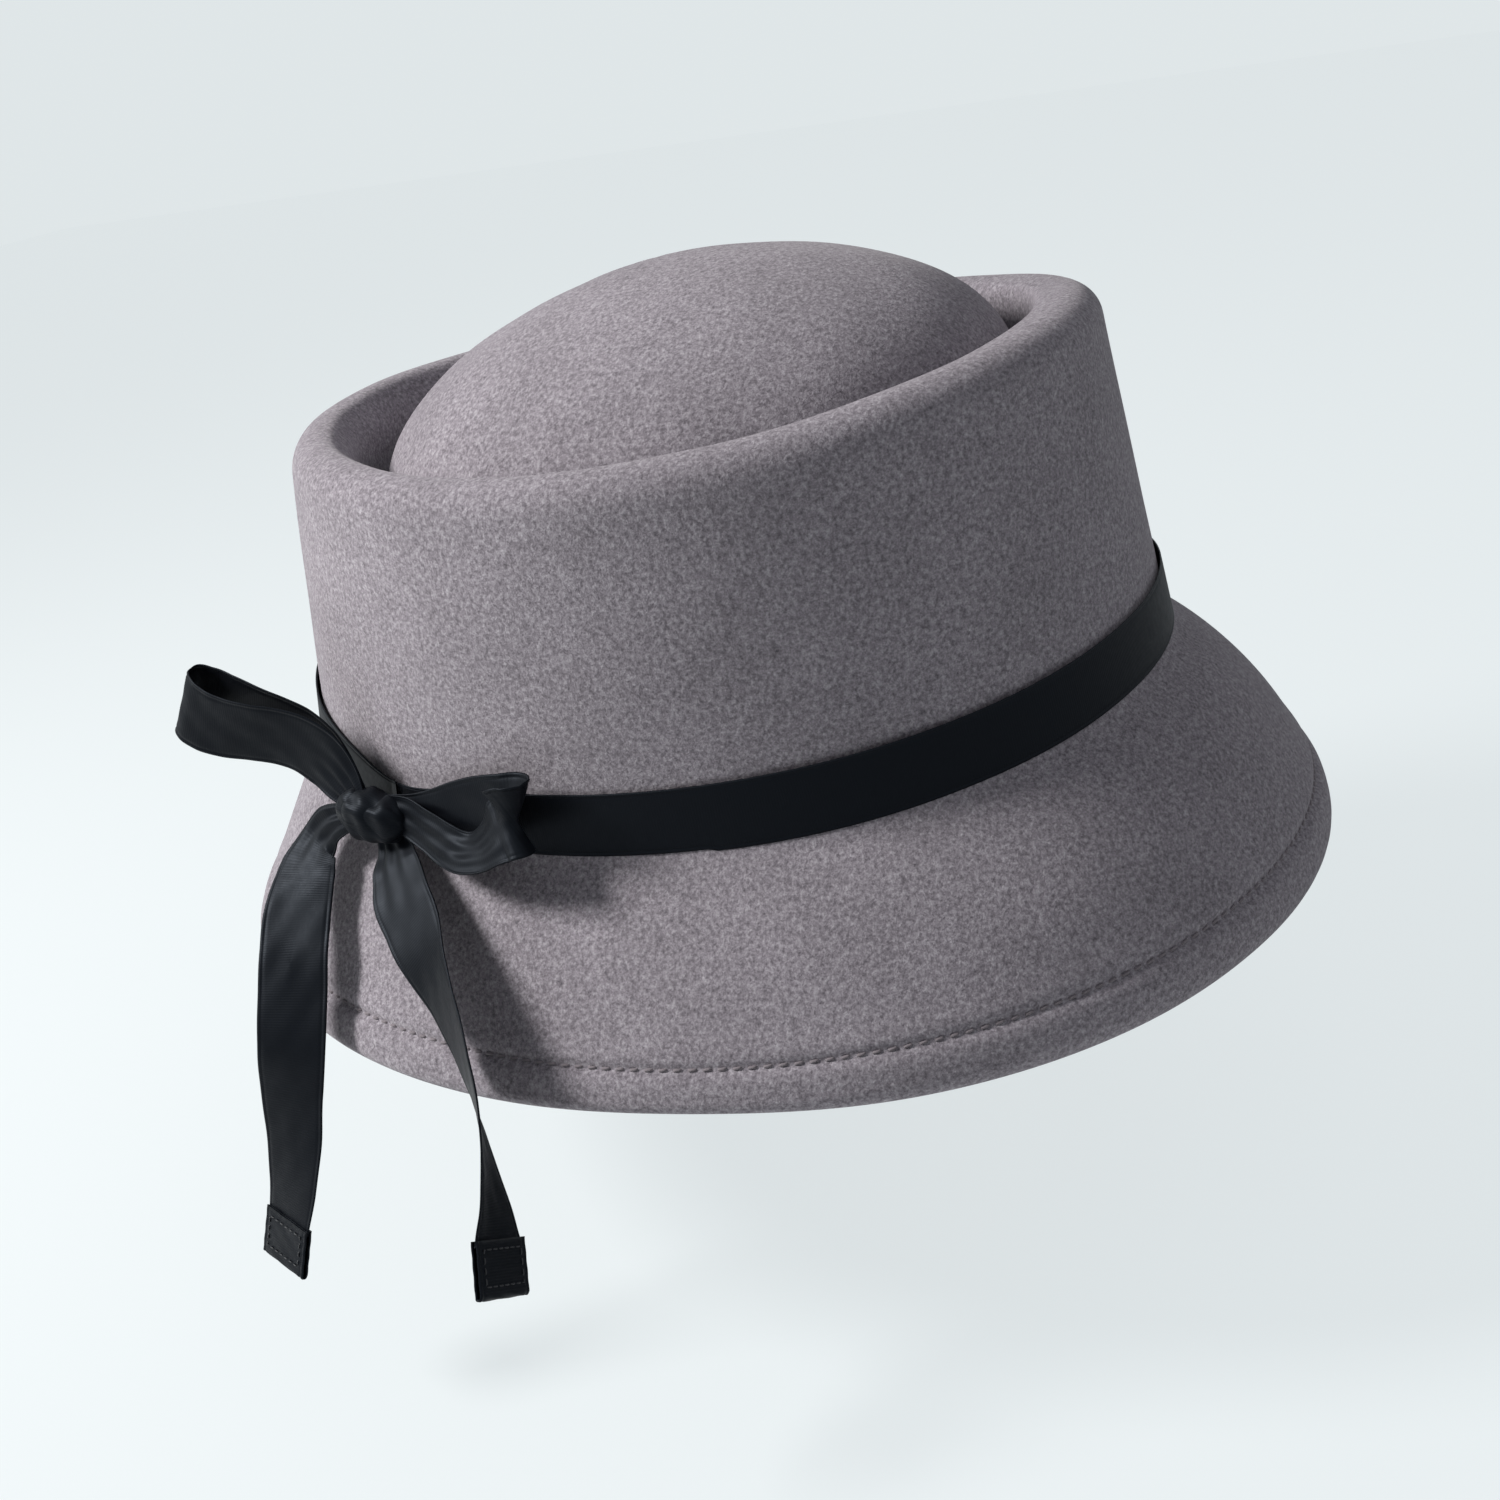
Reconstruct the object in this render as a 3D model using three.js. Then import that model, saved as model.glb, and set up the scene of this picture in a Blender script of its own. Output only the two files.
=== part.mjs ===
// A woman's blocked wool-felt hat with a telescope crown, a turned-down brim and a tied ribbon bow.
// Millimetres, +Z up. The origin is the centre of the head opening, level with the ribbon's lower edge.
// -Y is the wearer's front, +X the wearer's left. The bow is on the wearer's right, behind the ear.
//
// The hat is first drawn round, as (radius, height) profiles, and then put on an oval block:
// onBlock() moves every point of the round hat to its place on the oval one.

import * as THREE from 'three';

// Driving dimensions: the felt
const feltThickness = 2.4;
const headRadius = 95.2;        // outside of the crown at the ribbon, halfway between length and breadth
const crownHeight = 74.5;       // ribbon's lower edge to the top of the rolled rim
const rimRadius = 88.4;         // outside of the rolled rim
const rimRoll = 6.9;            // radius of the roll
const moatWidth = 4.4;
const moatDepth = 18.5;         // below the top of the rim
const domeHeight = 97.2;        // top of the dome
const domeSquareness = 1.85;    // 2 is an ellipse, less is more pointed
const brimRadius = 126.1;
const brimDrop = 43.9;
const brimBulge = 2.4;          // how far the brim bells out of a straight cone, on average
const brimFrontBell = 2.8;      // how much more it bells in front, and less behind

// Driving dimensions: the oval block. An ovality is (length - breadth) / (length + breadth).
const headOvality = 0.0919;
const rimOvality = 0.0475;
const brimOvality = 0.0634;
const blockFullness = 0.0107;   // fills the oval out at its four diagonals
const headSideDip = 4.7;        // the ribbon line lies lower at the sides than at front and back
const rimSideDip = 2.5;
const brimSideDip = 1.4;
const rimBackDip = 2.8;         // each ring of the hat lies lower at its back by this
const brimBackDip = 0.3;
const domeBackDip = 6.1;
const rimShift = -1;            // how far the rim and the brim's edge sit forward of the head opening
const brimShift = -2.3;

// Driving dimensions: brim edge, wire and thread
const hemDepth = 12;            // how far the edge is turned under
const hemStitchLine = 9.5;      // from the brim's edge
const wireRadius = 0.6;
const joinerWall = 0.35;
const joinerLength = 14;
const threadRadius = 0.25;
const stitchLift = 0.2;         // keeps the sweatband's thread off its straight steps
const clearance = 0.3;          // between pieces that touch

// Driving dimensions: ribbons
const ribbonWidth = 16;
const ribbonThickness = 0.5;
const sweatbandWidth = 25;
const sweatbandThickness = 0.7;
const seamGap = 0.6;            // where a band's two ends meet
const bandLowerEdge = 0.4;      // above the head opening
const sweatbandLowerEdge = 2;
const sweatbandStitchLine = 4;  // above the head opening
const ringRoom = 0.3;           // a band's straight steps cut inside the felt's curve, so it stands off more

// Driving dimensions: the bow
const bowAngle = 153;           // round the hat from +X, anticlockwise seen from above
const knotWidth = 16;
const knotHeight = 12;
const knotDepth = 8;
const knotRise = 1.6;           // its centre above the ribbon's lower edge
const knotLean = 1.1;           // the brim's shoulder pushes its lower half out by this
const knotTuck = 0.88;          // how much nearer the band that lean lets it sit
const leftLoopRoot = new THREE.Vector3(0.6, 7.4, 3.8);      // from the knot's centre
const leftLoopReach = new THREE.Vector3(0.4, 36, 22.4);
const rightLoopGap = 0.8;       // beside the knot
const rightLoopOut = 2.2;
const rightLoopRise = 2;
const rightLoopSweep = 26;      // degrees round the hat from the bow to the loop's tip
const rightTipOut = 4;
const rightTipRise = 5;
const loopBelly = 3.6;          // half the space between a loop's two layers
const tabLength = 10.5;         // folded and stitched end of each tail
const tabThickness = 1.6;
const hangDirection = new THREE.Vector3(-0.33, 0.04, -0.94).normalize();

// Fineness
const turns = 60;
const ribbonSteps = 22;
const threadTurns = 72;
const wireSteps = 90;

const felt = new THREE.MeshStandardMaterial({ color: 0x8a8184, roughness: 0.95, metalness: 0 });
const satin = new THREE.MeshStandardMaterial({ color: 0x14161c, roughness: 0.4, metalness: 0 });
const grosgrain = new THREE.MeshStandardMaterial({ color: 0x1b1b1f, roughness: 0.8, metalness: 0 });
const thread = new THREE.MeshStandardMaterial({ color: 0x5d565a, roughness: 0.7, metalness: 0 });
const blackThread = new THREE.MeshStandardMaterial({ color: 0x101014, roughness: 0.6, metalness: 0 });
const steel = new THREE.MeshStandardMaterial({ color: 0x9a9da0, roughness: 0.35, metalness: 1 });
const brass = new THREE.MeshStandardMaterial({ color: 0xb08d4a, roughness: 0.35, metalness: 1 });

const hat = new THREE.Group();

function addPiece(name, geometry, material) {
  const piece = new THREE.Mesh(geometry, material);
  piece.name = name;
  hat.add(piece);
}

const radians = THREE.MathUtils.degToRad;

// --- the oval block -------------------------------------------------------------------------

// The brim's slant as drawn round: its length, and the directions across and down it.
const brimLength = Math.hypot(brimRadius - headRadius, brimDrop);
const brimAcross = new THREE.Vector2(brimDrop, brimRadius - headRadius).divideScalar(brimLength);
const brimAlong = new THREE.Vector2(brimAcross.y, -brimAcross.x);

// A value that runs from the brim's edge, through the head opening, to the rim.
function byLevel(z, atEdge, atHead, atRim) {
  if (z < 0) {
    return THREE.MathUtils.lerp(atHead, atEdge, Math.min(1, -z / brimDrop));
  }
  return THREE.MathUtils.lerp(atHead, atRim, Math.min(1, z / (crownHeight - rimRoll)));
}

// The round hat's point at an angle, a radius and a height, moved to the oval hat.
function onBlock(angle, radius, z) {
  const ovality = byLevel(z, brimOvality, headOvality, rimOvality);
  const down = Math.min(1, Math.max(0, -z / brimDrop));
  const bell = -brimFrontBell * 4 * down * (1 - down) * Math.sin(angle);
  const wide = radius + bell * brimAcross.x;
  const fullness = 1 + blockFullness * Math.sin(2 * angle) ** 2;
  const shift = byLevel(z, brimShift, 0, rimShift);
  const moatRadius = rimRadius - 2 * rimRoll - moatWidth / 2;
  const inDome = 1 - THREE.MathUtils.smoothstep(radius, moatRadius, moatRadius + rimRoll);
  const nearAxis = Math.min(1, radius / moatRadius);
  const wallBackDip = byLevel(z, brimBackDip, 0, rimBackDip);
  const backDip = THREE.MathUtils.lerp(wallBackDip, domeBackDip, inDome) * nearAxis;
  const sideDip = byLevel(z, brimSideDip, headSideDip, rimSideDip) * nearAxis ** 2;
  return new THREE.Vector3(
    wide * (1 - ovality) * fullness * Math.cos(angle),
    shift + wide * (1 + ovality) * fullness * Math.sin(angle),
    z + bell * brimAcross.y - backDip * Math.sin(angle) - sideDip * Math.cos(2 * angle),
  );
}

// Moves every vertex of a round geometry to the oval block.
function blocked(geometry) {
  const place = geometry.getAttribute('position');
  for (let i = 0; i < place.count; i += 1) {
    const x = place.getX(i);
    const y = place.getY(i);
    const point = onBlock(Math.atan2(y, x), Math.hypot(x, y), place.getZ(i));
    place.setXYZ(i, point.x, point.y, point.z);
  }
  geometry.computeVertexNormals();
  return geometry;
}

// Turns a profile of (radius, height) points round the hat's axis.
function turned(profile, count = turns) {
  const geometry = new THREE.LatheGeometry(profile, count);
  geometry.rotateX(Math.PI / 2);
  return blocked(geometry);
}

// --- the felt -------------------------------------------------------------------------------

const rollCentre = new THREE.Vector2(rimRadius - rimRoll, crownHeight - rimRoll);
const moatFloor = crownHeight - moatDepth;
const domeRadius = rimRadius - 2 * rimRoll - moatWidth;

function arc(centre, radius, from, to, steps) {
  const points = [];
  for (let i = 0; i <= steps; i += 1) {
    const angle = radians(from + (to - from) * i / steps);
    points.push(new THREE.Vector2(
      centre.x + radius * Math.cos(angle),
      centre.y + radius * Math.sin(angle),
    ));
  }
  return points;
}

// The dome's outside from its top to its foot.
function domeLine(steps) {
  const points = [];
  const base = moatFloor + moatWidth / 2;
  const power = 2 / domeSquareness;
  for (let i = 0; i <= steps; i += 1) {
    const angle = Math.PI / 2 * (1 - i / steps);
    const radius = i === 0 ? 0 : domeRadius * Math.cos(angle) ** power;
    points.push(new THREE.Vector2(radius, base + (domeHeight - base) * Math.sin(angle) ** power));
  }
  return points;
}

// The crown's outer wall, from the head opening (0) to the rolled rim (1).
function wallPoint(share) {
  return new THREE.Vector2(
    THREE.MathUtils.lerp(headRadius, rimRadius, share),
    rollCentre.y * share,
  );
}

// The brim's outside, from the head opening (0) to the edge (1).
function brimPoint(share, outward = 0) {
  const straight = new THREE.Vector2(headRadius, 0).addScaledVector(brimAlong, brimLength * share);
  return straight.addScaledVector(brimAcross, brimBulge * 4 * share * (1 - share) + outward);
}

// The same, measured in millimetres up from the edge.
function aboveEdge(distance, outward = 0) {
  return brimPoint(1 - distance / brimLength, outward);
}

const channelRadius = wireRadius + joinerWall + 2 * clearance;
const foldRadius = channelRadius + feltThickness;
const wirePlace = aboveEdge(foldRadius, -foldRadius);
const foldStart = THREE.MathUtils.radToDeg(Math.atan2(
  aboveEdge(foldRadius).y - wirePlace.y,
  aboveEdge(foldRadius).x - wirePlace.x,
));

// The felt's outside from the top of the dome to the brim's edge, and round it to the raw edge.
function feltOutside() {
  const points = domeLine(8);
  const moatCentre = new THREE.Vector2(domeRadius + moatWidth / 2, moatFloor + moatWidth / 2);
  points.push(...arc(moatCentre, moatWidth / 2, 180, 360, 4).slice(1));
  points.push(...arc(rollCentre, rimRoll, 180, 0, 8));
  for (const share of [0.66, 0.33, 0]) {
    points.push(wallPoint(share));
  }
  for (const share of [0.06, 0.22, 0.4, 0.58, 0.74]) {
    points.push(brimPoint(share));
  }
  points.push(aboveEdge(hemStitchLine));
  points.push(...arc(wirePlace, foldRadius, foldStart, foldStart - 180, 7));
  const leafOutside = -2 * feltThickness - clearance;
  points.push(aboveEdge(hemStitchLine, leafOutside));
  points.push(aboveEdge(hemDepth, leafOutside));
  return points;
}

// The felt's inside, from the raw edge down the fold, round the wire and up to the dome.
function feltInside() {
  const points = [];
  const leafInside = -feltThickness - clearance;
  points.push(aboveEdge(hemDepth, leafInside));
  points.push(aboveEdge(hemStitchLine, leafInside));
  points.push(...arc(wirePlace, channelRadius, foldStart - 180, foldStart, 6));
  for (const share of [0.7, 0.5, 0.3, 0.1]) {
    points.push(brimPoint(share, -feltThickness));
  }
  const innerFoot = wallPoint(0.04);
  points.push(new THREE.Vector2(innerFoot.x - feltThickness, innerFoot.y));
  points.push(new THREE.Vector2(wallPoint(0.5).x - feltThickness, wallPoint(0.5).y));
  points.push(...arc(rollCentre, rimRoll - feltThickness, 0, 180, 6));
  const moatCentre = new THREE.Vector2(domeRadius + moatWidth / 2, moatFloor + moatWidth / 2);
  points.push(...arc(moatCentre, moatWidth / 2 + feltThickness, 360, 180, 4));
  const dome = domeLine(6);
  const foot = new THREE.Vector2(0, moatFloor + moatWidth / 2);
  const inner = dome.map((point) => new THREE.Vector2(
    point.x * (domeRadius - feltThickness) / domeRadius,
    foot.y + (point.y - foot.y) * (domeHeight - feltThickness - foot.y) / (domeHeight - foot.y),
  ));
  points.push(...inner.reverse().slice(1));
  return points;
}

addPiece('felt_body', turned([...feltOutside(), ...feltInside()].reverse()), felt);

// --- the wire in the hem, and the stitches that close it -----------------------------------------

// An open ring of a given section round the hat, at a radius and height of the round hat.
function ringCurve(place, fromDegrees, toDegrees, steps) {
  const points = [];
  for (let i = 0; i <= steps; i += 1) {
    const angle = radians(fromDegrees + (toDegrees - fromDegrees) * i / steps);
    points.push(onBlock(angle, place.x, place.y));
  }
  return new THREE.CatmullRomCurve3(points);
}

function rod(radius, curve, steps, sides, boreRadius = 0) {
  const section = new THREE.Shape();
  section.absarc(0, 0, radius, 0, 2 * Math.PI, false);
  if (boreRadius > 0) {
    const bore = new THREE.Path();
    bore.absarc(0, 0, boreRadius, 0, 2 * Math.PI, true);
    section.holes.push(bore);
  }
  return new THREE.ExtrudeGeometry(section, {
    extrudePath: curve,
    steps,
    curveSegments: sides,
    bevelEnabled: false,
  });
}

const degreesPerMillimetre = 360 / (2 * Math.PI * brimRadius);
const backCentre = 90;
const halfWireGap = 0.5 * seamGap * degreesPerMillimetre;
const wireCurve = ringCurve(
  wirePlace,
  backCentre + halfWireGap,
  backCentre + 360 - halfWireGap,
  2 * wireSteps,
);
addPiece('brim_wire', rod(wireRadius, wireCurve, wireSteps, 3), steel);

const halfJoiner = 0.5 * joinerLength * degreesPerMillimetre;
const joinerCurve = ringCurve(wirePlace, backCentre - halfJoiner, backCentre + halfJoiner, 8);
const joinerBore = wireRadius + clearance;
const joinerRadius = joinerBore + joinerWall;
addPiece('wire_joiner', rod(joinerRadius, joinerCurve, 4, 6, joinerBore), brass);

function threadRing(place) {
  const section = arc(place, threadRadius, 0, 360, 5);
  section[section.length - 1].copy(section[0]);
  return turned(section, threadTurns);
}

const aboveFelt = threadRadius + clearance;
addPiece('hem_stitching_upper', threadRing(aboveEdge(hemStitchLine, aboveFelt)), thread);
const leafOuterFace = 2 * feltThickness + clearance;
const belowLeaf = leafOuterFace + aboveFelt + clearance;
addPiece('hem_stitching_lower', threadRing(aboveEdge(hemStitchLine, -belowLeaf)), thread);

// --- ribbons ------------------------------------------------------------------------------------

// Bends a flat strip along a route. Each stop has a place and a direction across the ribbon.
function strip(stops, width, thickness, steps) {
  const line = new THREE.CatmullRomCurve3(stops.map((stop) => stop.place), false, 'centripetal');
  const acrossLine = new THREE.CatmullRomCurve3(stops.map((stop) => stop.across));
  const geometry = new THREE.BoxGeometry(1, 1, 1, steps, 1, 1);
  const place = geometry.getAttribute('position');
  for (let i = 0; i < place.count; i += 1) {
    const along = Math.min(1, Math.max(0, place.getX(i) + 0.5));
    const forward = line.getTangent(along);
    const across = acrossLine.getPoint(along);
    across.addScaledVector(forward, -across.dot(forward)).normalize();
    const normal = new THREE.Vector3().crossVectors(forward, across);
    const point = line.getPoint(along);
    point.addScaledVector(across, place.getY(i) * width(along));
    point.addScaledVector(normal, place.getZ(i) * thickness);
    place.setXYZ(i, point.x, point.y, point.z);
  }
  geometry.computeVertexNormals();
  return geometry;
}

const evenWidth = (width) => () => width;

// A band round the crown, from one angle to another, its lower edge at a height, standing off the
// felt on its outside or its inside.
function crownBand(fromDegrees, toDegrees, lowerEdge, width, offset, thickness) {
  const stops = [];
  for (let i = 0; i <= turns; i += 1) {
    const angle = radians(fromDegrees + (toDegrees - fromDegrees) * i / turns);
    const low = wallPoint(lowerEdge / rollCentre.y);
    const high = wallPoint((lowerEdge + width) / rollCentre.y);
    const lowPlace = onBlock(angle, low.x + offset, low.y);
    const highPlace = onBlock(angle, high.x + offset, high.y);
    const across = highPlace.clone().sub(lowPlace).normalize();
    stops.push({ place: lowPlace.add(highPlace).multiplyScalar(0.5), across });
  }
  return strip(stops, evenWidth(width), thickness, turns);
}

const bandOffset = clearance + ribbonThickness / 2 + ringRoom;
const headDegrees = 360 / (2 * Math.PI * headRadius);
const halfSeam = 0.5 * seamGap * headDegrees;
addPiece(
  'hat_band',
  crownBand(
    bowAngle + halfSeam,
    bowAngle + 360 - halfSeam,
    bandLowerEdge,
    ribbonWidth,
    bandOffset,
    ribbonThickness,
  ),
  satin,
);

const sweatOffset = -feltThickness - clearance - sweatbandThickness / 2 - ringRoom;
addPiece(
  'sweatband',
  crownBand(
    backCentre + halfSeam,
    backCentre + 360 - halfSeam,
    sweatbandLowerEdge,
    sweatbandWidth,
    sweatOffset,
    sweatbandThickness,
  ),
  grosgrain,
);
const sweatStitchPlace = wallPoint(sweatbandStitchLine / rollCentre.y);
sweatStitchPlace.x += sweatOffset - sweatbandThickness / 2 - aboveFelt - stitchLift;
addPiece('sweatband_stitching', threadRing(sweatStitchPlace), blackThread);

// --- the bow ------------------------------------------------------------------------------------

// A direction that points along a compass heading, measured from +X.
function heading(degrees, rise = 0) {
  return new THREE.Vector3(Math.cos(radians(degrees)), Math.sin(radians(degrees)), rise).normalize();
}

const knotBase = wallPoint(knotRise / rollCentre.y);
const bandFace = bandOffset + ribbonThickness / 2;
const knotOffset = bandFace + clearance + knotDepth / 2 - knotTuck;
const knotCentre = onBlock(radians(bowAngle), knotBase.x + knotOffset, knotBase.y);
const bowBack = onBlock(radians(bowAngle - 5), knotBase.x + knotOffset, knotBase.y);
const bowFront = onBlock(radians(bowAngle + 5), knotBase.x + knotOffset, knotBase.y);
const alongBand = bowFront.clone().sub(bowBack).setZ(0).normalize();
const outOfHat = new THREE.Vector3().crossVectors(alongBand, new THREE.Vector3(0, 0, 1));

// A pulled-tight knot: a rounded block with soft edges.
function knotBody() {
  const geometry = new THREE.SphereGeometry(1, 16, 10);
  geometry.deleteAttribute('normal');
  const place = geometry.getAttribute('position');
  const point = new THREE.Vector3();
  for (let i = 0; i < place.count; i += 1) {
    point.fromBufferAttribute(place, i);
    const square = (value) => Math.sign(value) * Math.abs(value) ** 0.85;
    const spot = knotCentre.clone();
    spot.addScaledVector(outOfHat, square(point.x) * knotDepth / 2 + (1 - point.z) * knotLean);
    spot.addScaledVector(alongBand, square(point.y) * knotWidth / 2);
    spot.z += square(point.z) * knotHeight / 2;
    place.setXYZ(i, spot.x, spot.y, spot.z);
  }
  geometry.computeVertexNormals();
  return geometry;
}

addPiece('bow_knot', knotBody(), satin);

// A loop of the bow: the ribbon leaves the knot, folds over at the tip and comes back beside
// itself. `reach` runs from the root to the tip, `across` over the ribbon's width.
function bowLoop(root, reach, across, belly) {
  const side = new THREE.Vector3().crossVectors(across, reach).normalize();
  const outline = [
    [0, 0.12], [0.2, 0.42], [0.45, 0.8], [0.7, 1], [0.9, 0.85], [1, 0],
    [0.9, -0.85], [0.7, -1], [0.45, -0.8], [0.2, -0.42], [0, -0.12],
  ];
  const stops = outline.map(([along, bulge]) => ({
    place: root.clone().addScaledVector(reach, along).addScaledVector(side, bulge * belly),
    across,
  }));
  const gathered = (along) => ribbonWidth * (0.55 + 0.45 * Math.sin(Math.PI * along) ** 0.6);
  return strip(stops, gathered, ribbonThickness, 2 * ribbonSteps);
}

const leftRoot = knotCentre.clone().add(leftLoopRoot);
addPiece(
  'bow_loop_left',
  bowLoop(leftRoot, leftLoopReach, new THREE.Vector3(0, 7, -14.5).normalize(), loopBelly),
  satin,
);
const rightRoot = knotCentre.clone().addScaledVector(alongBand, knotWidth / 2 + rightLoopGap);
rightRoot.addScaledVector(outOfHat, rightLoopOut);
rightRoot.z += rightLoopRise;
const rightTip = onBlock(
  radians(bowAngle + rightLoopSweep),
  knotBase.x + knotOffset + rightTipOut,
  knotBase.y + rightTipRise,
);
addPiece(
  'bow_loop_right',
  bowLoop(rightRoot, rightTip.sub(rightRoot), new THREE.Vector3(-0.3, 0, -1).normalize(), 0.8 * loopBelly),
  satin,
);

// A tail leaves the knot, comes down over the brim and hangs free below its edge.
// Over the brim a stop is [angle, millimetres down the slant, stand-off, heading of its width];
// below the edge it is [millimetres down, millimetres sideways, heading of its width, its rise].
function tailStops(start, overBrim, belowEdge) {
  const stops = [start];
  for (const [angle, down, standOff, widthHeading] of overBrim) {
    const spot = brimPoint(down / brimLength, standOff);
    stops.push({ place: onBlock(radians(angle), spot.x, spot.y), across: heading(widthHeading) });
  }
  const edge = stops[stops.length - 1].place;
  const sideways = heading(-69);
  for (const [down, aside, widthHeading, rise] of belowEdge) {
    const place = edge.clone().addScaledVector(hangDirection, down).addScaledVector(sideways, aside);
    stops.push({ place, across: heading(widthHeading, rise) });
  }
  return stops;
}

// The folded tab that finishes a tail: a short thick strip that takes the line on.
function tabStops(stops, gap) {
  const last = stops[stops.length - 1];
  const before = stops[stops.length - 2];
  const forward = last.place.clone().sub(before.place).normalize();
  const at = (distance) => ({
    place: last.place.clone().addScaledVector(forward, distance),
    across: last.across,
  });
  return [at(gap), at(gap + tabLength / 2), at(gap + tabLength)];
}

// The stitches across a tab: one thread in a square, standing on its outer face.
function tabStitching(stops) {
  const middle = stops[1].place;
  const forward = stops[2].place.clone().sub(stops[0].place).normalize();
  const across = stops[1].across.clone();
  across.addScaledVector(forward, -across.dot(forward)).normalize();
  const normal = new THREE.Vector3().crossVectors(forward, across);
  const geometry = new THREE.TorusGeometry(1, 0.09, 6, 4);
  geometry.rotateZ(Math.PI / 4);
  const place = geometry.getAttribute('position');
  for (let i = 0; i < place.count; i += 1) {
    const spot = middle.clone();
    spot.addScaledVector(forward, place.getX(i) * tabLength * 0.42);
    spot.addScaledVector(across, place.getY(i) * ribbonWidth * 0.42);
    spot.addScaledVector(normal, tabThickness / 2 + clearance + threadRadius + place.getZ(i) * 2.5);
    place.setXYZ(i, spot.x, spot.y, spot.z);
  }
  geometry.computeVertexNormals();
  return geometry;
}

const tails = [
  {
    side: 'left',
    start: { place: knotCentre.clone().add(new THREE.Vector3(-3.2, 4.4, -6)), across: heading(-120) },
    overBrim: [
      [144.2, 13, 7.4, -114], [144.8, 19, 9, -108], [146.6, 25.4, 9.8, -95],
      [149, 35.4, 10.8, -82], [150.4, 45.8, 10.8, -76], [151.6, 56, 10, -78],
    ],
    belowEdge: [[12, -0.4, -84, 0], [22, -0.3, -96, 0], [32, -1, -112, 0], [40, -2.3, -126, 0]],
  },
  {
    side: 'right',
    start: { place: knotCentre.clone().add(new THREE.Vector3(-4.6, -2.4, -6.2)), across: heading(-112) },
    overBrim: [
      [157.2, 11, 5, -108], [160.4, 16.4, 5.8, -108], [165.4, 24.8, 7.2, -112],
      [169.2, 33, 8.2, -122], [171.6, 41, 9, -135], [173.6, 52, 9.6, -150],
    ],
    belowEdge: [[10, 0.3, -166, 0.1], [19, 1, -182, 0.25], [29, 2.6, -198, 0.45]],
  },
];

for (const { side, start, overBrim, belowEdge } of tails) {
  const stops = tailStops(start, overBrim, belowEdge);
  const spreading = (along) => ribbonWidth * (0.4 + 0.6 * THREE.MathUtils.smoothstep(along, 0, 0.25));
  addPiece(`tail_${side}`, strip(stops, spreading, ribbonThickness, 2 * ribbonSteps), satin);
  const tab = tabStops(stops, clearance);
  addPiece(`tail_end_${side}`, strip(tab, evenWidth(ribbonWidth + 1), tabThickness, 4), satin);
  addPiece(`tail_end_stitching_${side}`, tabStitching(tab), blackThread);
}

export default hat;
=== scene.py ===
# A blocked wool-felt hat with a telescope crown, a turned-down brim and a tied ribbon bow.
# Lengths are millimetres in the hat's own frame until addMesh turns them into metres.
import math

import bpy
import numpy as np
from mathutils import Matrix, Vector


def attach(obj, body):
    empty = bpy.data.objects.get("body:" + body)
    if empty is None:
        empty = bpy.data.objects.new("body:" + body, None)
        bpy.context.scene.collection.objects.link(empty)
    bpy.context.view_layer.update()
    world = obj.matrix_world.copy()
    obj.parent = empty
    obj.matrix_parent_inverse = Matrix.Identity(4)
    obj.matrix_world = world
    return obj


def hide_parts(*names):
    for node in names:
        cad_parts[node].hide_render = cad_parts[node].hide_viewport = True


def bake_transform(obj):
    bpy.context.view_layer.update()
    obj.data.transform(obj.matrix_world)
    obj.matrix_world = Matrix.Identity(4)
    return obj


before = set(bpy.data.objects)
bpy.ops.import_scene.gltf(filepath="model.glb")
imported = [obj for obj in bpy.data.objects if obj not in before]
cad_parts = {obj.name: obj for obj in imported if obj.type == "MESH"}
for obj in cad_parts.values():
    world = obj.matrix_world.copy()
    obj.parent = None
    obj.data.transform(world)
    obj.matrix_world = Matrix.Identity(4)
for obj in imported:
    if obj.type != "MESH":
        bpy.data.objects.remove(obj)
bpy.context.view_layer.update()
metres = 0.001


# Small helpers.
def smooth(value, low, high):
    t = np.clip((np.asarray(value, float) - low) / (high - low), 0, 1)
    return t * t * (3 - 2 * t)


def lerp(a, b, t):
    return a + (b - a) * t


def unit(v):
    return v / np.linalg.norm(v, axis=-1, keepdims=True)


# The right, up and towards-the-viewer directions of a view, rolled about its own line.
def facingAxes(azimuth, elevation, roll):
    turn, lift, lean = (math.radians(x) for x in (azimuth, elevation, roll))
    out = np.array([math.sin(turn) * math.cos(lift), -math.cos(turn) * math.cos(lift), math.sin(lift)])
    level = unit(np.cross([0, 0, 1], out))
    high = np.cross(out, level)
    right = math.cos(lean) * level + math.sin(lean) * high
    return np.array([right, np.cross(out, right), out])


view = {"azimuth": -65, "elevation": 24.76, "roll": -9.97, "distance": 400,
        "aside": (3.9, -21.8), "lens": 39.15}
axes = facingAxes(view["azimuth"], view["elevation"], view["roll"])


# A grid of points (rows, columns, xyz) as faces. A closed direction joins its last line to its first.
def gridFaces(rows, columns, closeRows=False, closeColumns=False, first=0):
    row = np.arange(rows if closeRows else rows - 1)
    column = np.arange(columns if closeColumns else columns - 1)
    row, column = (x.ravel() for x in np.meshgrid(row, column, indexing="ij"))
    start, nextStart = row * columns, (row + 1) % rows * columns
    nextColumn = (column + 1) % columns
    corners = [start + column, start + nextColumn, nextStart + nextColumn, nextStart + column]
    return first + np.stack(corners, -1)


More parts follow.
